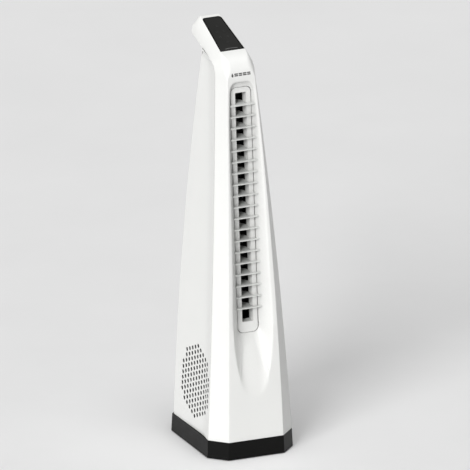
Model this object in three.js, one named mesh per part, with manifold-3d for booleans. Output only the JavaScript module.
// Tower evaporative cooler: a tapered octagonal tower on a dark plinth, with a bent-back carry handle,
// a tall louvred outlet at the front and hexagonal intake fields low on both sides.
// Units are millimetres. +Z is up, the front faces -Y, and the origin is the middle of the footprint.

import * as THREE from "three";
import { mergeGeometries, mergeVertices } from "three/addons/utils/BufferGeometryUtils.js";
import Module from "manifold-3d";

const wasm = await Module();
wasm.setup();

// ---------------------------------------------------------------- driving dimensions

const GAP = 0.4;
const WALL = 3;

const PLINTH = { halfWidth: 112, halfDepth: 147, facetHalf: 73, bottom: 2, top: 45.2, draft: 2 };
const FOOT = { radius: 10, pocket: 1.8, x: 72, y: 104 };

// The tower's outline: each value runs along a parabola through its size at the foot, middle and neck.
const TOWER = { foot: 45.6, middle: 490, neck: 936 };
const FRONT_HALF = { foot: 71.4, middle: 57.4, neck: 36.6 };
const FRONT_Y = { foot: -144.8, middle: -111.8, neck: -55.6 };
const SIDE_HALF = { foot: 109.6, middle: 83.2, neck: 52.2 };
const FRONT_CORNER_Y = { foot: -106, middle: -75.2, neck: -15.9 };
const REAR_CORNER_Y = { foot: 103.9, middle: 109.1, neck: 76.2 };
const REAR_HALF = { foot: 71.4, middle: 56, neck: 36 };
const REAR_Y = { foot: 143, middle: 137, neck: 97 };
const REAR_TOP = 975.5;

// The neck and handle: the top line of the strip and its lower edge, as [y, z] pairs.
const BEND_TOP = { control: [-49.6, 975.2], end: [-4.2, 990] };
const BEND_EDGE = { control: [-12.7, 955.5], end: [8, 963] };
const ARM = { topEnd: [129, 1033.8], edge: [[8, 963], [34.4, 970], [69.7, 977.5], [110, 986], [134, 991]] };
const BEND_HALF = { top: 32.8, edge: 50.6 };
const ARM_HALF = { top: 25.6, edge: 43.5 };
const TIP = [
  { front: [136.5, 1035.5], edge: [136.5, 991.5], frontHalf: 24.8, edgeHalf: 43.4 },
  { front: [142, 1031.8], edge: [142, 994], frontHalf: 25.4, edgeHalf: 43 },
  { front: [145.6, 1023.5], edge: [145.6, 998.5], frontHalf: 28, edgeHalf: 42.2 },
  { front: [147, 1013.5], edge: [147, 1006], frontHalf: 32, edgeHalf: 40 },
];

const PANEL = { start: 1.2, length: 133, thickness: 2.2, border: 1.4 };

// The outlet: a leaning frame with a tall slot, sunk behind the front facet.
const FRAME = {
  bottom: 302, top: 912, half: 27, corner: 14, groove: 1.2, thickness: 3, baseY: -96.8, lean: 0.0777,
};
const SLOT = { bottom: 329, top: 898, half: 14.4 };
const THROAT = { depth: 24, wall: 1.2, shortDepth: 6 };
// Ribs of the recess from its top to its foot, right half: frame edge x, z and facet edge x, z.
const RECESS_RIBS = [
  [0, 912, 0, 926], [13, 912, 14, 926], [21, 909.5, 23.5, 922], [26.2, 902.8, 30.5, 909],
  [27, 880, 33.5, 880], [27, 815, 38, 815], [27, 730, 41.5, 730], [27, 640, 44, 640],
  [27, 540, 46.2, 540], [27, 440, 48.6, 440], [27, 370, 51, 370], [27, 325, 51.6, 325],
  [26.2, 311.2, 50, 288], [21, 304.5, 46, 250], [13, 302, 38, 208], [7, 302, 26, 172],
  [3, 302, 12, 153], [0, 302, 0, 149],
];

const LOUVRE = { count: 19, top: 869, pitch: 28, proud: 11, thickness: 1.6, tongueHalf: 12.8, tongueSide: 24 };
const LOUVRE_PIVOT = { proud: 5, radius: 1.3, clearance: 0.5 };
const LOUVRE_REAR = 36;
const EAR = { from: 10, to: 16, reach: 17.2 };
const LINK = { inner: 15.6, outer: 18.6, from: 7, to: 19, notch: 2 };

const DUCT = { half: 24, front: 3.4, back: 66, bottom: 262, top: 928, wall: 2 };
const VANE = { x: 8, from: 46, to: 60, bottom: 335, top: 892, thickness: 1.6 };
const SWING_MOTOR = { radius: 12, height: 12 };

const BLOWER = { y: -8, z: 158, half: 38, wall: 2, inlet: 40, cutOff: 60, growth: 24, outletTop: 258 };
const WHEEL = { radius: 52, inner: 42, half: 29, blades: 20, hub: 9 };
const SHAFT = { radius: 4, left: -14, right: 42 };
const MOTOR = { radius: 20.6, left: 32, right: 60 };

const HOLE = { radius: 5.7, columnStep: 15.1, rowStep: 13.6, centreY: -10.9, centreZ: 164.4 };
const HOLES_IN_COLUMN = [14, 13, 12, 11, 10, 6];

const PAD = { inner: 66, outer: 84, front: -92, back: 68, bottom: 56, top: 256 };
const FILTER = { inner: 86.5, outer: 90.5, border: 8, columns: 2, rows: 3 };
const SUMP = { halfX: 76, halfY: 104, bottom: 5.4, top: 40, wall: 2.5 };
const PUMP = { x: 52, y: 60, halfX: 19, halfY: 15, bottom: 9, top: 34, chamber: 10 };
const HOSE_RADIUS = 4;
const TANK = { half: 57, front: 84, rear: 141.6, bottom: 54, top: 246, wall: 2.2 };
const TANK_CAP = { x: 34, y: 106, radius: 14, height: 9 };
const GLAND = { x: 44, z: 292, radius: 9, proud: 3.1 };

// ---------------------------------------------------------------- materials

function finish(color, roughness, metalness = 0) {
  return new THREE.MeshStandardMaterial({ color, roughness, metalness });
}

const whitePlastic = () => finish(0xeceeea, 0.42);
const greyPlastic = () => finish(0xc9ccc8, 0.5);
const blackPlastic = () => finish(0x17171a, 0.45);
const darkPlastic = () => finish(0x3a3c3e, 0.6);
const blackGlass = () => finish(0x141414, 0.12);
const rubber = () => finish(0x101010, 0.9);
const steel = () => finish(0xb4b7ba, 0.35, 0.9);
const paper = () => finish(0x9a8455, 0.95);
const mesh = () => finish(0x55595c, 0.8);
const clearPlastic = () => finish(0x9fb6c4, 0.2);
const board = () => finish(0x1f6b3a, 0.55);

// ---------------------------------------------------------------- geometry helpers

/** Parabola through a value at the tower's foot, middle and neck. */
function along(values) {
  const { foot, middle, neck } = TOWER;
  return (z) => {
    const atFoot = ((z - middle) * (z - neck)) / ((foot - middle) * (foot - neck));
    const atMiddle = ((z - foot) * (z - neck)) / ((middle - foot) * (middle - neck));
    const atNeck = ((z - foot) * (z - middle)) / ((neck - foot) * (neck - middle));
    return values.foot * atFoot + values.middle * atMiddle + values.neck * atNeck;
  };
}

const frontHalf = along(FRONT_HALF);
const frontY = along(FRONT_Y);
const sideHalf = along(SIDE_HALF);
const frontCornerY = along(FRONT_CORNER_Y);
const rearCornerY = along(REAR_CORNER_Y);
const rearHalf = along(REAR_HALF);
const rearY = along(REAR_Y);
const frameY = (z) => FRAME.baseY + (z - FRAME.bottom) * FRAME.lean;

/** Evenly spaced numbers from one end to the other. */
function steps(from, to, count) {
  return Array.from({ length: count + 1 }, (_, i) => from + ((to - from) * i) / count);
}

const point = (x, y, z) => new THREE.Vector3(x, y, z);

/** Triangles that fill one ring, wound the same way as the ring. */
function fillRing(ring) {
  const normal = new THREE.Vector3();
  ring.forEach((a, i) => {
    const b = ring[(i + 1) % ring.length];
    normal.x += (a.y - b.y) * (a.z + b.z);
    normal.y += (a.z - b.z) * (a.x + b.x);
    normal.z += (a.x - b.x) * (a.y + b.y);
  });
  normal.normalize();
  const u = new THREE.Vector3().subVectors(ring[1], ring[0]).normalize();
  const v = new THREE.Vector3().crossVectors(normal, u);
  const flat = ring.map((p) => new THREE.Vector2(p.dot(u), p.dot(v)));
  const signed = ([a, b, c]) => THREE.ShapeUtils.area([flat[a], flat[b], flat[c]]);
  return THREE.ShapeUtils.triangulateShape(flat, []).map((t) => (signed(t) < 0 ? [t[0], t[2], t[1]] : t));
}

/** Closed skin over a row of rings with equal point counts; a loop joins the last ring to the first. */
function loft(rings, isLoop = false) {
  const count = rings[0].length;
  const points = rings.flat();
  const faces = [];
  const spans = isLoop ? rings.length : rings.length - 1;
  for (let i = 0; i < spans; i += 1) {
    const a = i * count;
    const b = ((i + 1) % rings.length) * count;
    for (let j = 0; j < count; j += 1) {
      const k = (j + 1) % count;
      faces.push([a + j, a + k, b + k], [a + j, b + k, b + j]);
    }
  }
  if (!isLoop) {
    const last = (rings.length - 1) * count;
    fillRing(rings[0]).forEach(([a, b, c]) => faces.push([a, c, b]));
    fillRing(rings.at(-1)).forEach(([a, b, c]) => faces.push([last + a, last + b, last + c]));
  }
  const volume = faces.reduce((sum, [a, b, c]) => {
    const cross = new THREE.Vector3().crossVectors(points[b], points[c]);
    return sum + points[a].dot(cross);
  }, 0);
  const outward = volume < 0 ? faces.map(([a, b, c]) => [a, c, b]) : faces;
  const geometry = new THREE.BufferGeometry();
  geometry.setAttribute("position", new THREE.Float32BufferAttribute(points.flatMap((p) => p.toArray()), 3));
  geometry.setIndex(outward.flat());
  return geometry;
}

/** Manifold solid from a closed geometry. */
function solid(geometry) {
  const bare = geometry.clone();
  bare.deleteAttribute("normal");
  bare.deleteAttribute("uv");
  const merged = mergeVertices(bare, 1e-4);
  const vertProperties = new Float32Array(merged.attributes.position.array);
  const triVerts = new Uint32Array(merged.index.array);
  return new wasm.Manifold(new wasm.Mesh({ numProp: 3, vertProperties, triVerts }));
}

/** Geometry of a manifold solid. */
function geometryOf(manifold) {
  const { vertProperties, triVerts } = manifold.getMesh();
  const geometry = new THREE.BufferGeometry();
  geometry.setAttribute("position", new THREE.BufferAttribute(new Float32Array(vertProperties), 3));
  geometry.setIndex(new THREE.BufferAttribute(new Uint32Array(triVerts), 1));
  return geometry;
}

const join = (first, ...others) => geometryOf(others.reduce((sum, g) => sum.add(solid(g)), solid(first)));
const cut = (first, ...others) => geometryOf(others.reduce((sum, g) => sum.subtract(solid(g)), solid(first)));

/** Box between two corners. */
function box([x0, y0, z0], [x1, y1, z1]) {
  const geometry = new THREE.BoxGeometry(x1 - x0, y1 - y0, z1 - z0);
  return geometry.translate((x0 + x1) / 2, (y0 + y1) / 2, (z0 + z1) / 2);
}

/** Cylinder along X between two ends. */
function rodX(radius, x0, x1, y, z, segments = 24) {
  const geometry = new THREE.CylinderGeometry(radius, radius, x1 - x0, segments);
  return geometry.rotateZ(Math.PI / 2).translate((x0 + x1) / 2, y, z);
}

/** Cylinder along Y between two ends. */
function rodY(radius, y0, y1, x, z, segments = 24) {
  return new THREE.CylinderGeometry(radius, radius, y1 - y0, segments).translate(x, (y0 + y1) / 2, z);
}

/** Cylinder along Z between two ends. */
function rodZ(radius, z0, z1, x, y, segments = 24) {
  const geometry = new THREE.CylinderGeometry(radius, radius, z1 - z0, segments);
  return geometry.rotateX(Math.PI / 2).translate(x, y, (z0 + z1) / 2);
}

/** Profile in the YZ plane, extruded from x0 to x1. */
function extrudeX(shape, x0, x1, curveSegments = 8) {
  const geometry = new THREE.ExtrudeGeometry(shape, { depth: x1 - x0, bevelEnabled: false, curveSegments });
  const turn = new THREE.Matrix4().makeBasis(point(0, 1, 0), point(0, 0, 1), point(1, 0, 0));
  return geometry.applyMatrix4(turn).translate(x0, 0, 0);
}

/** Profile in the XZ plane, extruded from y0 to y1. */
function extrudeY(shape, y0, y1, curveSegments = 8) {
  const geometry = new THREE.ExtrudeGeometry(shape, { depth: y1 - y0, bevelEnabled: false, curveSegments });
  return geometry.rotateX(Math.PI / 2).translate(0, y1, 0);
}

/** Profile in the XY plane, extruded from z0 to z1. */
function extrudeZ(shape, z0, z1, curveSegments = 8) {
  const geometry = new THREE.ExtrudeGeometry(shape, { depth: z1 - z0, bevelEnabled: false, curveSegments });
  return geometry.translate(0, 0, z0);
}

/** Four-sided bar that leans with the outlet frame, between two distances behind the frame plane. */
function leaningBar(x0, x1, from, to, bottom, top) {
  return loft([bottom, top].map((z) => [
    point(x0, frameY(z) + from, z),
    point(x1, frameY(z) + from, z),
    point(x1, frameY(z) + to, z),
    point(x0, frameY(z) + to, z),
  ]));
}

/** Rounded rectangle shape. */
function roundedRect(x0, y0, x1, y1, radius) {
  const shape = new THREE.Shape();
  shape.moveTo(x0 + radius, y0);
  shape.lineTo(x1 - radius, y0);
  shape.absarc(x1 - radius, y0 + radius, radius, -Math.PI / 2, 0, false);
  shape.absarc(x1 - radius, y1 - radius, radius, 0, Math.PI / 2, false);
  shape.absarc(x0 + radius, y1 - radius, radius, Math.PI / 2, Math.PI, false);
  shape.absarc(x0 + radius, y0 + radius, radius, Math.PI, Math.PI * 1.5, false);
  return shape;
}

/** Shift an open line of points to its left by a distance, with mitred corners. */
function inset(points, distance) {
  const normals = points.slice(1).map((p, i) => {
    const direction = new THREE.Vector2().subVectors(p, points[i]).normalize();
    return new THREE.Vector2(-direction.y, direction.x);
  });
  return points.map((p, i) => {
    const before = normals[Math.max(i - 1, 0)];
    const after = normals[Math.min(i, normals.length - 1)];
    const mean = new THREE.Vector2().addVectors(before, after).normalize();
    return mean.multiplyScalar(distance / mean.dot(after)).add(p);
  });
}

/** Outer line of a strip: edge, facet, facet, edge, at one station of [y, z] front and edge points. */
function stripLine(station) {
  const depth = Math.hypot(station.edge[0] - station.front[0], station.edge[1] - station.front[1]);
  return [
    new THREE.Vector2(-station.edgeHalf, depth),
    new THREE.Vector2(-station.frontHalf, 0),
    new THREE.Vector2(station.frontHalf, 0),
    new THREE.Vector2(station.edgeHalf, depth),
  ];
}

/** Place a strip line's points in space. */
function stripPoints(station, line) {
  const dy = station.edge[0] - station.front[0];
  const dz = station.edge[1] - station.front[1];
  const depth = Math.hypot(dy, dz);
  return line.map((p) => point(
    p.x,
    station.front[0] + (dy * p.y) / depth,
    station.front[1] + (dz * p.y) / depth,
  ));
}

/** Ring of a shell strip: outer line out and inner line back. */
function shellRing(station) {
  const line = stripLine(station);
  return stripPoints(station, [...line, ...inset(line, WALL).reverse()]);
}

const solidRing = (station) => stripPoints(station, stripLine(station));

// ---------------------------------------------------------------- casing

const frontStation = (z) => ({
  front: [frontY(z), z],
  edge: [frontCornerY(z), z],
  frontHalf: frontHalf(z),
  edgeHalf: sideHalf(z),
});

const rearStation = (z) => ({
  front: [rearY(z), z],
  edge: [rearCornerY(z), z],
  frontHalf: rearHalf(z),
  edgeHalf: sideHalf(z),
});

const bezier = (start, { control, end }) => new THREE.QuadraticBezierCurve(
  new THREE.Vector2(...start),
  new THREE.Vector2(...control),
  new THREE.Vector2(...end),
);

const armTop = new THREE.LineCurve(new THREE.Vector2(...BEND_TOP.end), new THREE.Vector2(...ARM.topEnd));
const armEdge = new THREE.SplineCurve(ARM.edge.map((p) => new THREE.Vector2(...p)));
const bendTop = bezier([FRONT_Y.neck, TOWER.neck], BEND_TOP);
const bendEdge = bezier([FRONT_CORNER_Y.neck, TOWER.neck], BEND_EDGE);

function bendStation(t) {
  return {
    front: bendTop.getPoint(t).toArray(),
    edge: bendEdge.getPoint(t).toArray(),
    frontHalf: THREE.MathUtils.lerp(FRONT_HALF.neck, BEND_HALF.top, t),
    edgeHalf: THREE.MathUtils.lerp(SIDE_HALF.neck, BEND_HALF.edge, t),
  };
}

function armStation(t) {
  return {
    front: armTop.getPoint(t).toArray(),
    edge: armEdge.getPointAt(t).toArray(),
    frontHalf: THREE.MathUtils.lerp(BEND_HALF.top, ARM_HALF.top, t),
    edgeHalf: THREE.MathUtils.lerp(BEND_HALF.edge, ARM_HALF.edge, t),
  };
}

/** Closed outline of the recess where it meets the facet, grown by a margin. */
function recessOutline(margin) {
  const right = RECESS_RIBS.map(([, , x, z]) => new THREE.Vector2(x, z));
  const left = right.slice(1, -1).reverse().map((p) => new THREE.Vector2(-p.x, p.y));
  const loop = [...right, ...left];
  const grown = loop.map((p, i) => {
    const before = loop[(i + loop.length - 1) % loop.length];
    const after = loop[(i + 1) % loop.length];
    const across = new THREE.Vector2().subVectors(after, before).normalize();
    return new THREE.Vector2(p.x - across.y * margin, p.y + across.x * margin);
  });
  return new THREE.Shape(grown);
}

/** Trapezoid slab on top of the handle arm, between two heights over the arm's top line. */
function panelSlab(low, high, margin) {
  const direction = new THREE.Vector2().subVectors(armTop.v2, armTop.v1).normalize();
  const normal = new THREE.Vector2(-direction.y, direction.x);
  const lengthOfArm = armTop.getLength();
  const ring = (height) => [[PANEL.start - margin, -1], [PANEL.start - margin, 1],
    [PANEL.start + PANEL.length + margin, 1], [PANEL.start + PANEL.length + margin, -1]].map(([s, side]) => {
    const half = THREE.MathUtils.lerp(BEND_HALF.top, ARM_HALF.top, s / lengthOfArm) - PANEL.border + margin;
    const at = armTop.v1.clone().addScaledVector(direction, s).addScaledVector(normal, height);
    return point(side * half, at.x, at.y);
  });
  return loft([ring(low), ring(high)]);
}

function frontShell() {
  const tower = steps(TOWER.foot, TOWER.neck, 12).map(frontStation);
  const bend = steps(0, 1, 6).slice(1).map(bendStation);
  const arm = steps(0, 1, 5).slice(1).map(armStation);
  const shell = loft([...tower, ...bend, ...arm, TIP[0]].map(shellRing));
  const tip = loft(TIP.map(solidRing));
  const outlet = extrudeY(recessOutline(GAP), -160, 0);
  return cut(join(shell, tip), outlet, panelSlab(-8, 8, GAP));
}

function handleUnderside() {
  const rings = steps(0.42, 1, 6).map((t) => {
    const { edge: [y, z], edgeHalf } = armStation(t);
    const half = edgeHalf - WALL - 2.4;
    return [point(-half, y, z), point(half, y, z), point(half, y, z + 2.5), point(-half, y, z + 2.5)];
  });
  return loft(rings);
}

function rearCover() {
  const shell = loft(steps(TOWER.foot, REAR_TOP, 12).map(rearStation).map(shellRing));
  const tankDoor = box([-TANK.half - GAP, 100, TANK.bottom - GAP], [TANK.half + GAP, 150, TANK.top + GAP]);
  const glandHole = rodY(GLAND.radius * 0.7, 130, 150, GLAND.x, GLAND.z, 12);
  return cut(shell, tankDoor, glandHole);
}

/** Depth of the strip's lower edge at a height, up the tower and into the neck. */
function edgeDepthAt(z) {
  if (z <= TOWER.neck) {
    return frontCornerY(z);
  }
  const line = [...steps(0, 1, 8).map(bendStation), ...steps(0, 1, 12).slice(1).map(armStation)];
  const after = line.findIndex((station) => station.edge[1] >= z);
  const [y0, z0] = line[after - 1].edge;
  const [y1, z1] = line[after].edge;
  return y0 + ((y1 - y0) * (z - z0)) / (z1 - z0);
}

/** Hexagonal through holes in staggered columns. */
function intakeHoles(side) {
  const cells = [];
  for (let column = -5; column <= 5; column += 1) {
    const rows = HOLES_IN_COLUMN[Math.abs(column)];
    const isOuter = Math.abs(column) === 5;
    for (let row = 0; row < rows; row += 1) {
      const offset = row - (rows - 1) / 2 - (isOuter ? 0.5 : 0);
      const y = HOLE.centreY + column * HOLE.columnStep;
      const z = HOLE.centreZ + offset * HOLE.rowStep;
      const hexagon = new THREE.CylinderGeometry(HOLE.radius, HOLE.radius, 40, 6).rotateY(Math.PI / 6);
      cells.push(hexagon.rotateZ(Math.PI / 2).rotateX(Math.PI / 2).translate(side * 100, y, z));
    }
  }
  return mergeGeometries(cells);
}

function sidePanel(side) {
  const heights = [...steps(TOWER.foot, TOWER.neck, 12), 948, 956, 962, 967, 971, 974];
  const slip = 0.7;
  const thickness = 2.5;
  const rings = heights.map((z) => {
    const x = sideHalf(z);
    const front = edgeDepthAt(z + (z > TOWER.neck ? slip : 0)) + slip;
    const back = rearCornerY(z) - slip;
    return [
      point(side * x, front, z),
      point(side * x, back, z),
      point(side * (x - thickness), back - thickness, z),
      point(side * (x - thickness), front + thickness, z),
    ];
  });
  return cut(loft(rings), intakeHoles(side));
}

// ---------------------------------------------------------------- base

function octagon(halfWidth, halfDepth, facetHalf, z) {
  const corner = halfWidth - facetHalf;
  const quarter = [[halfWidth, -halfDepth + corner], [halfWidth, halfDepth - corner], [facetHalf, halfDepth]];
  const ring = [...quarter, [-facetHalf, halfDepth], [-halfWidth, halfDepth - corner],
    [-halfWidth, -halfDepth + corner], [-facetHalf, -halfDepth], [facetHalf, -halfDepth]];
  return ring.map(([x, y]) => point(x, y, z));
}

const feetPlaces = [[-1, -1, "foot_front_left"], [1, -1, "foot_front_right"],
  [-1, 1, "foot_rear_left"], [1, 1, "foot_rear_right"]];

function basePlinth() {
  const { halfWidth, halfDepth, facetHalf, bottom, top, draft } = PLINTH;
  const outer = loft([
    octagon(halfWidth, halfDepth, facetHalf, bottom),
    octagon(halfWidth - draft, halfDepth - draft, facetHalf - draft / 2, top),
  ]);
  const inner = loft([
    octagon(halfWidth - 6, halfDepth - 6, facetHalf - 3, bottom + WALL),
    octagon(halfWidth - 6, halfDepth - 6, facetHalf - 3, top + 1),
  ]);
  const pockets = feetPlaces.map(([sx, sy]) => rodZ(FOOT.radius + GAP, 0, bottom + FOOT.pocket,
    sx * FOOT.x, sy * FOOT.y));
  return cut(outer, inner, ...pockets);
}

const foot = (sx, sy) => rodZ(FOOT.radius, 0, PLINTH.bottom + FOOT.pocket - GAP, sx * FOOT.x, sy * FOOT.y);

// ---------------------------------------------------------------- outlet

function outletBezel() {
  const back = 2.5;
  const right = RECESS_RIBS;
  const left = right.slice(1, -1).reverse().map(([ix, iz, ox, oz]) => [-ix, iz, -ox, oz]);
  const rings = [...right, ...left].map(([ix, iz, ox, oz]) => [
    point(ox, frontY(oz), oz),
    point(ix, frameY(iz), iz),
    point(ix, frameY(iz) + back, iz),
    point(ox, frontY(oz) + back, oz),
  ]);
  const pinHoles = mergeGeometries(louvreHeights().flatMap((z) => {
    const y = frameY(z) - LOUVRE_PIVOT.proud;
    const radius = LOUVRE_PIVOT.radius + LOUVRE_PIVOT.clearance;
    const reach = wallHalf(z, LOUVRE_PIVOT.proud);
    return [-1, 1].map((side) => rodX(radius, side * reach - 6, side * reach + 6, y, z, 6));
  }));
  return cut(loft(rings, true), pinHoles);
}

/** Half width between the recess walls at a height, a given distance in front of the frame. */
function wallHalf(z, proud) {
  const after = RECESS_RIBS.findIndex((rib) => rib[1] <= z);
  const [, z0, x0] = RECESS_RIBS[after - 1];
  const [, z1, x1] = RECESS_RIBS[after];
  const outer = THREE.MathUtils.mapLinear(z, z0, z1, x0, x1);
  const depth = frameY(z) - frontY(z);
  return FRAME.half + ((outer - FRAME.half) * proud) / depth;
}

const louvreHeights = () => steps(LOUVRE.top, LOUVRE.top - LOUVRE.pitch * (LOUVRE.count - 1), LOUVRE.count - 1);

/** Insert round the slot, with a throat behind it that is deep everywhere but on the link's side. */
function louvreFrame() {
  const { half, bottom, top, groove, corner } = FRAME;
  const plate = roundedRect(-half + groove, bottom + groove, half - groove, top - groove, corner - groove);
  const slot = roundedRect(-SLOT.half, SLOT.bottom, SLOT.half, SLOT.top, 2);
  plate.holes.push(slot);
  const flat = extrudeY(plate, 0, FRAME.thickness, 4);
  const shear = new THREE.Matrix4();
  shear.elements[9] = FRAME.lean;
  shear.elements[13] = FRAME.baseY - FRAME.bottom * FRAME.lean;
  const { half: inner, bottom: low, top: high } = SLOT;
  const { depth, wall, shortDepth } = THROAT;
  const from = FRAME.thickness - 0.5;
  const throat = [
    leaningBar(inner, inner + wall, from, depth, low - wall, high + wall),
    leaningBar(-inner - wall, -inner, from, shortDepth, low - wall, high + wall),
    leaningBar(-inner - wall, inner + wall, from, depth, low - wall, low),
    leaningBar(-inner - wall, inner + wall, from, depth, high, high + wall),
  ];
  return join(flat.applyMatrix4(shear), ...throat);
}

/** Louvre blade: wide lip in front of the frame, rounded tongue through the slot, two pins and an ear. */
function louvreBlade(z) {
  const y0 = frameY(z);
  const clear = 1.2;
  const lipHalf = wallHalf(z, LOUVRE.proud) - clear;
  const rootHalf = wallHalf(z, 2) - clear;
  const { tongueHalf, tongueSide, thickness } = LOUVRE;
  const shape = new THREE.Shape();
  shape.moveTo(-lipHalf, y0 - LOUVRE.proud);
  shape.lineTo(lipHalf, y0 - LOUVRE.proud);
  shape.lineTo(rootHalf, y0 - 1.5);
  shape.lineTo(tongueHalf, y0 - 1.5);
  shape.lineTo(tongueHalf, y0 + tongueSide);
  shape.quadraticCurveTo(tongueHalf * 0.6, y0 + LOUVRE_REAR, 0, y0 + LOUVRE_REAR);
  shape.quadraticCurveTo(-tongueHalf * 0.6, y0 + LOUVRE_REAR, -tongueHalf, y0 + tongueSide);
  shape.lineTo(-tongueHalf, y0 + EAR.to);
  shape.lineTo(-EAR.reach, y0 + EAR.to);
  shape.lineTo(-EAR.reach, y0 + EAR.from);
  shape.lineTo(-tongueHalf, y0 + EAR.from);
  shape.lineTo(-tongueHalf, y0 - 1.5);
  shape.lineTo(-rootHalf, y0 - 1.5);
  const plate = extrudeZ(shape, z - thickness / 2, z + thickness / 2, 3);
  const pinY = y0 - LOUVRE_PIVOT.proud;
  const reach = wallHalf(z, LOUVRE_PIVOT.proud);
  const pins = [-1, 1].map((side) => {
    const ends = [side * (reach - 5), side * (reach + 1.6)].sort((a, b) => a - b);
    return rodX(LOUVRE_PIVOT.radius, ends[0], ends[1], pinY, z, 6);
  });
  return join(plate, ...pins);
}

/** Upright bar beside the tongues; each ear works in a notch. */
function louvreLink() {
  const zs = louvreHeights();
  const bar = leaningBar(-LINK.outer, -LINK.inner, LINK.from, LINK.to, zs.at(-1) - 14, zs[0] + 14);
  const notches = mergeGeometries(zs.map((z) => box(
    [-EAR.reach - GAP, frameY(z) + EAR.from - 2, z - LINK.notch],
    [-LINK.inner + 1, frameY(z) + EAR.to + 1.2, z + LINK.notch],
  )));
  return cut(bar, notches);
}

function airDuct() {
  const { half, front, back, bottom, top, wall } = DUCT;
  const outer = leaningBar(-half, half, front, back, bottom, top);
  const channel = leaningBar(-half + wall, half - wall, front + wall, back - wall, bottom - 10, top - wall);
  const mouth = leaningBar(-half + 4, half - 4, front - 5, front + wall + 1, SLOT.bottom - 16, SLOT.top + 8);
  const motorHole = rodZ(5, top - 8, top + 8, -VANE.x, vaneY(top), 12);
  return cut(outer, channel, mouth, motorHole);
}

const vaneY = (z) => frameY(z) + (VANE.from + VANE.to) / 2;

/** Upright vane with a square spindle on top; the left one reaches the swing motor. */
function swingVane(side) {
  const x = side * VANE.x;
  const middle = (VANE.from + VANE.to) / 2;
  const spindleTop = side < 0 ? DUCT.top : DUCT.top - DUCT.wall - GAP;
  const half = VANE.thickness / 2;
  const blade = leaningBar(x - half, x + half, VANE.from, VANE.to, VANE.bottom, VANE.top);
  const spindle = leaningBar(x - 1.5, x + 1.5, middle - 1.5, middle + 1.5, VANE.top - 3, spindleTop);
  return join(blade, spindle);
}

/** Short bar under the vanes that makes them turn together. */
function vaneLink() {
  const top = VANE.bottom - GAP;
  return box([-VANE.x - 3, frameY(top) + VANE.to - 6, top - 4], [VANE.x + 3, frameY(top) + VANE.to - 2, top]);
}

function swingMotor() {
  const z = DUCT.top + GAP;
  const y = vaneY(z);
  const can = rodZ(SWING_MOTOR.radius, z, z + SWING_MOTOR.height, -VANE.x, y, 20);
  const ear = box([-VANE.x - 18, y - 4, z], [-VANE.x + 18, y + 4, z + 1.5]);
  return join(can, ear);
}

// ---------------------------------------------------------------- blower

/** Scroll outline in the YZ plane, shrunk by a margin, with its outlet rising at the front. */
function scroll(margin, top) {
  const shape = new THREE.Shape();
  const count = 20;
  const start = THREE.MathUtils.degToRad(120);
  const sweep = THREE.MathUtils.degToRad(300);
  for (let i = 0; i <= count; i += 1) {
    const angle = start - (sweep * i) / count;
    const radius = BLOWER.cutOff + (BLOWER.growth * i) / count - margin;
    const y = BLOWER.y + radius * Math.cos(angle);
    const z = BLOWER.z + radius * Math.sin(angle);
    if (i === 0) {
      shape.moveTo(y, z);
    } else {
      shape.lineTo(y, z);
    }
  }
  const front = BLOWER.y - BLOWER.cutOff - BLOWER.growth + margin;
  const back = BLOWER.y - 34 - margin;
  shape.lineTo(front, top);
  shape.lineTo(back, top);
  shape.lineTo(back, BLOWER.z + 56);
  return shape;
}

function blowerHousing(side) {
  const { half, wall, inlet, outletTop } = BLOWER;
  const outerEnds = [side * 0.2, side * half].sort((a, b) => a - b);
  const innerEnds = [-side, side * (half - wall)].sort((a, b) => a - b);
  const outer = extrudeX(scroll(0, outletTop), ...outerEnds);
  const inner = extrudeX(scroll(wall, outletTop + 5), ...innerEnds);
  const eye = rodX(inlet, side * half - 5, side * half + 5, BLOWER.y, BLOWER.z, 28);
  return cut(outer, inner, eye);
}

function blowerWheel() {
  const { radius, inner, half, blades, hub } = WHEEL;
  const parts = [rodX(radius - 2, -1.5, 1.5, 0, 0, 30), rodX(hub, -9, 9, 0, 0, 16)];
  const ring = cut(rodX(radius, half - 2.5, half, 0, 0, 30), rodX(inner, half - 6, half + 3, 0, 0, 30));
  parts.push(ring, ring.clone().translate(2.5 - 2 * half, 0, 0));
  for (let i = 0; i < blades; i += 1) {
    const blade = box([-half + 1, -0.8, inner + 0.8], [half - 1, 0.8, radius - 0.8]);
    blade.translate(0, 0, -(inner + radius) / 2).rotateX(0.5).translate(0, 0, (inner + radius) / 2);
    parts.push(blade.rotateX((i * 2 * Math.PI) / blades));
  }
  const bore = rodX(SHAFT.radius + 0.3, -20, 20, 0, 0, 16);
  return cut(join(...parts), bore).translate(0, BLOWER.y, BLOWER.z);
}

const blowerShaft = () => rodX(SHAFT.radius, SHAFT.left, SHAFT.right, BLOWER.y, BLOWER.z, 16);

function blowerMotor() {
  const can = rodX(MOTOR.radius, MOTOR.left, MOTOR.right, BLOWER.y, BLOWER.z, 24);
  const boss = rodX(8, MOTOR.left - 3, MOTOR.left + 1, BLOWER.y, BLOWER.z, 16);
  const bore = rodX(SHAFT.radius + 0.4, MOTOR.left - 10, SHAFT.right + 0.6, BLOWER.y, BLOWER.z, 16);
  return cut(join(can, boss), bore);
}

/** Two rings joined by three arms, on the right-hand face of the blower housing. */
function motorBracket() {
  const near = BLOWER.half + GAP;
  const far = near + 3;
  const disc = (radius, margin) => rodX(radius, near - margin, far + margin, 0, 0, 28);
  const ring = (outer, inner) => cut(disc(outer, 0), disc(inner, 1));
  const third = (2 * Math.PI) / 3;
  const arms = [0, 1, 2].map((i) => box([near + 0.3, -4, 22], [far - 0.3, 4, 45]).rotateX(i * third));
  return join(ring(48, 42), ring(25, MOTOR.radius + GAP), ...arms).translate(0, BLOWER.y, BLOWER.z);
}

// ---------------------------------------------------------------- water and cooling

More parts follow.
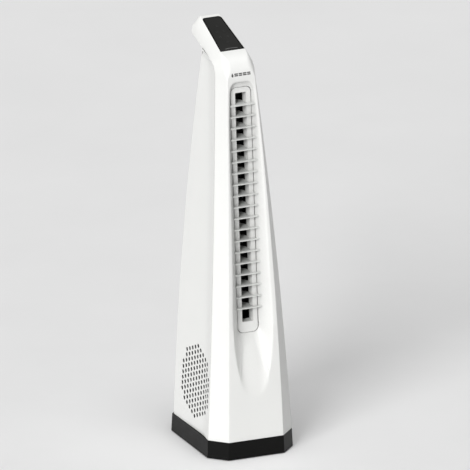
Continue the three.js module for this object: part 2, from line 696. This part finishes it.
const coolingPad = (side) => {
  const xs = [side * PAD.inner, side * PAD.outer].sort((a, b) => a - b);
  return box([xs[0], PAD.front, PAD.bottom], [xs[1], PAD.back, PAD.top]);
};

function dustFilter(side) {
  const xs = [side * FILTER.inner, side * FILTER.outer].sort((a, b) => a - b);
  const slab = box([xs[0], PAD.front, PAD.bottom], [xs[1], PAD.back, PAD.top]);
  const { border, columns, rows } = FILTER;
  const width = (PAD.back - PAD.front - border * (columns + 1)) / columns;
  const height = (PAD.top - PAD.bottom - border * (rows + 1)) / rows;
  const windows = [];
  for (let c = 0; c < columns; c += 1) {
    for (let r = 0; r < rows; r += 1) {
      const y = PAD.front + border + c * (width + border);
      const z = PAD.bottom + border + r * (height + border);
      windows.push(box([xs[0] - 1, y, z], [xs[1] + 1, y + width, z + height]));
    }
  }
  return cut(slab, mergeGeometries(windows));
}

/** U-shaped tray over both pads, joined by a channel behind the blower. */
function waterDistributor() {
  const low = PAD.top + 1;
  const high = low + 9;
  const inner = PAD.inner - 2;
  const arm = (side) => {
    const xs = [side * inner, side * (PAD.outer + 1)].sort((a, b) => a - b);
    return box([xs[0], PAD.front, low], [xs[1], PAD.back, high]);
  };
  const cross = box([-inner - 1, PAD.back - 16, low], [inner + 1, PAD.back, high]);
  const groove = (side) => {
    const xs = [side * (inner + 2), side * (PAD.outer - 1)].sort((a, b) => a - b);
    return box([xs[0], PAD.front + 2, low + 2], [xs[1], PAD.back - 2, high + 1]);
  };
  const crossGroove = box([-inner - 3, PAD.back - 14, low + 2], [inner + 3, PAD.back - 2, high + 1]);
  const hoseHole = rodZ(HOSE_RADIUS + GAP, low - 2, low + 4, PUMP.x, PUMP.y, 12);
  return cut(join(arm(-1), arm(1), cross), groove(-1), groove(1), crossGroove, hoseHole);
}

function waterSump() {
  const { halfX, halfY, bottom, top, wall } = SUMP;
  const outer = extrudeZ(roundedRect(-halfX, -halfY, halfX, halfY, 12), bottom, top, 4);
  const inner = extrudeZ(roundedRect(-halfX + wall, -halfY + wall, halfX - wall, halfY - wall, 10),
    bottom + wall, top + 1, 4);
  return cut(outer, inner);
}

function pumpBody() {
  const { x, y, halfX, halfY, bottom, top, chamber } = PUMP;
  const block = extrudeZ(roundedRect(x - halfX, y - halfY, x + halfX, y + halfY, 5), bottom, top, 3);
  const spigot = rodZ(HOSE_RADIUS + 1.5, top - 1, top + 4, x, y, 12);
  const cavity = rodZ(chamber, bottom - 1, bottom + 12, x, y, 16);
  return cut(join(block, spigot), cavity);
}

function pumpImpeller() {
  const { x, y, bottom, chamber } = PUMP;
  const hub = rodZ(3, bottom + 1, bottom + 10, 0, 0, 10);
  const vanes = [0, 1].map((i) => box([-chamber + 1.5, -0.8, bottom + 2], [chamber - 1.5, 0.8, bottom + 9])
    .rotateZ((i * Math.PI) / 2));
  return join(hub, ...vanes).translate(x, y, 0);
}

function waterHose() {
  const low = PUMP.top + 4 + GAP;
  const outer = rodZ(HOSE_RADIUS, low, PAD.top + 6, PUMP.x, PUMP.y, 12);
  const bore = rodZ(HOSE_RADIUS - 1.2, low - 1, PAD.top + 7, PUMP.x, PUMP.y, 12);
  return cut(outer, bore);
}

/** Removable tank with a finger pocket in its outer face and a filler neck on top. */
function waterTank() {
  const { half, front, rear, bottom, top, wall } = TANK;
  const outer = box([-half, front, bottom], [half, rear, top]);
  const cavity = box([-half + wall, front + wall, bottom + wall], [half - wall, rear - wall, top - wall - 12]);
  const pocket = box([-30, rear - 16, top - 52], [30, rear + 1, top - 30]);
  const pocketWall = box(
    [-30 - wall, rear - 16 - wall, top - 52 - wall],
    [30 + wall, rear + 1, top - 30 + wall],
  );
  const neck = rodZ(9, top - 20, top + 1, TANK_CAP.x, TANK_CAP.y, 16);
  const seat = rodZ(TANK_CAP.radius + GAP, top - TANK_CAP.height, top + 1, TANK_CAP.x, TANK_CAP.y, 24);
  const hollow = solid(cavity).subtract(solid(pocketWall));
  const body = solid(outer).subtract(hollow).subtract(solid(pocket));
  return geometryOf(body.subtract(solid(neck)).subtract(solid(seat)));
}

function tankCap() {
  const low = TANK.top - TANK_CAP.height + GAP;
  const disc = rodZ(TANK_CAP.radius, low, TANK.top - 2, TANK_CAP.x, TANK_CAP.y, 24);
  const { x, y } = TANK_CAP;
  const grip = box([x - 11, y - 2, TANK.top - 3], [x + 11, y + 2, TANK.top]);
  return join(disc, grip);
}

// ---------------------------------------------------------------- electrics

function controlBoard() {
  const direction = new THREE.Vector2().subVectors(armTop.v2, armTop.v1).normalize();
  const angle = Math.atan2(direction.y, direction.x);
  const middle = armTop.getPoint(0.52);
  return box([-18, -50, -0.8], [18, 50, 0.8]).rotateX(angle).translate(0, middle.x + 3, middle.y - 9);
}

const powerBoard = () => box([-38, 96, 300], [38, 98, 410]);

function mainsGland() {
  const face = rearY(GLAND.z);
  const collar = rodY(GLAND.radius, face + GAP, face + GLAND.proud, GLAND.x, GLAND.z, 6);
  const stem = rodY(GLAND.radius * 0.7 - GAP, face - 12, face + 1, GLAND.x, GLAND.z, 12);
  const bore = rodY(3.6, face - 13, face + GLAND.proud + 1, GLAND.x, GLAND.z, 12);
  return cut(join(collar, stem), bore);
}

// ---------------------------------------------------------------- assembly

const cooler = new THREE.Group();

function add(name, geometry, material) {
  const piece = new THREE.Mesh(geometry, material);
  piece.name = name;
  cooler.add(piece);
}

add("base_plinth", basePlinth(), blackPlastic());
feetPlaces.forEach(([sx, sy, name]) => add(name, foot(sx, sy), rubber()));
add("front_shell", frontShell(), whitePlastic());
add("side_panel_left", sidePanel(-1), whitePlastic());
add("side_panel_right", sidePanel(1), whitePlastic());
add("rear_cover", rearCover(), whitePlastic());
add("handle_underside", handleUnderside(), whitePlastic());
add("outlet_bezel", outletBezel(), whitePlastic());
add("louvre_frame", louvreFrame(), whitePlastic());
louvreHeights().forEach((z, i) => {
  add(`louvre_${String(i + 1).padStart(2, "0")}`, louvreBlade(z), greyPlastic());
});
add("louvre_link", louvreLink(), darkPlastic());
add("air_duct", airDuct(), darkPlastic());
add("swing_vane_left", swingVane(-1), darkPlastic());
add("swing_vane_right", swingVane(1), darkPlastic());
add("vane_link", vaneLink(), darkPlastic());
add("swing_motor", swingMotor(), steel());
add("blower_housing_left", blowerHousing(-1), darkPlastic());
add("blower_housing_right", blowerHousing(1), darkPlastic());
add("blower_wheel", blowerWheel(), greyPlastic());
add("blower_shaft", blowerShaft(), steel());
add("blower_motor", blowerMotor(), steel());
add("motor_bracket", motorBracket(), steel());
add("cooling_pad_left", coolingPad(-1), paper());
add("cooling_pad_right", coolingPad(1), paper());
add("dust_filter_left", dustFilter(-1), mesh());
add("dust_filter_right", dustFilter(1), mesh());
add("water_distributor", waterDistributor(), darkPlastic());
add("water_sump", waterSump(), darkPlastic());
add("pump_body", pumpBody(), blackPlastic());
add("pump_impeller", pumpImpeller(), greyPlastic());
add("water_hose", waterHose(), clearPlastic());
add("water_tank", waterTank(), clearPlastic());
add("tank_cap", tankCap(), blackPlastic());
add("control_panel", panelSlab(-PANEL.thickness, 0, 0), blackGlass());
add("control_board", controlBoard(), board());
add("power_board", powerBoard(), board());
add("mains_gland", mainsGland(), blackPlastic());

export default cooler;
